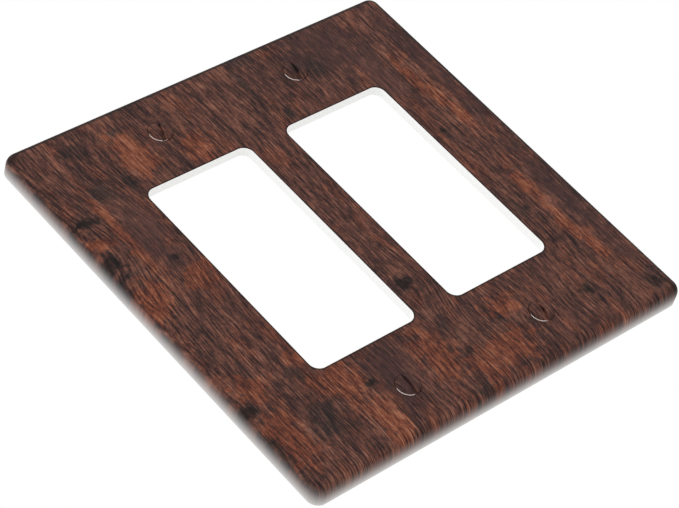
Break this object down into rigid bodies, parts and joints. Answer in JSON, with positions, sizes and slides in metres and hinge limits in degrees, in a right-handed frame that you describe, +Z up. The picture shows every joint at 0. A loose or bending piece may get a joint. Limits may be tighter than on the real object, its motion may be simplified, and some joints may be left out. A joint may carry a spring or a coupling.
{
  "type": "wall plate cover",
  "caption": "Flat rectangular wall plate with tall device openings, rounded shoulders, wood-print front and oval-head fixing screws.",
  "frame": {"origin": "centre of the plane that the plate's rear rim touches, which is the wall's surface", "axes": "+Z up as mounted, +Y into the wall, so the printed front faces -Y; +X to the right seen from the front"},
  "size_m": [0.126, 0.0138, 0.124],
  "materials": {
    "printed_plate": "satin printed front over white moulded plastic",
    "painted_screw": "satin paint matched to the print, zinc-plated thread"
  },
  "bodies": {
    "plate": {"wall_plate": "printed_plate"},
    "top_left_screw": {"screw_top_left": "painted_screw"},
    "top_right_screw": {"screw_top_right": "painted_screw"},
    "bottom_left_screw": {"screw_bottom_left": "painted_screw"},
    "bottom_right_screw": {"screw_bottom_right": "painted_screw"}
  },
  "joints": [
    {"name": "top_left_screw_out", "type": "slide", "parent": "plate", "child": "top_left_screw", "axis": [0, -1, 0], "range_m": [0, 0.013]},
    {"name": "top_right_screw_out", "type": "slide", "parent": "plate", "child": "top_right_screw", "axis": [0, -1, 0], "range_m": [0, 0.013]},
    {"name": "bottom_left_screw_out", "type": "slide", "parent": "plate", "child": "bottom_left_screw", "axis": [0, -1, 0], "range_m": [0, 0.013]},
    {"name": "bottom_right_screw_out", "type": "slide", "parent": "plate", "child": "bottom_right_screw", "axis": [0, -1, 0], "range_m": [0, 0.013]}
  ]
}
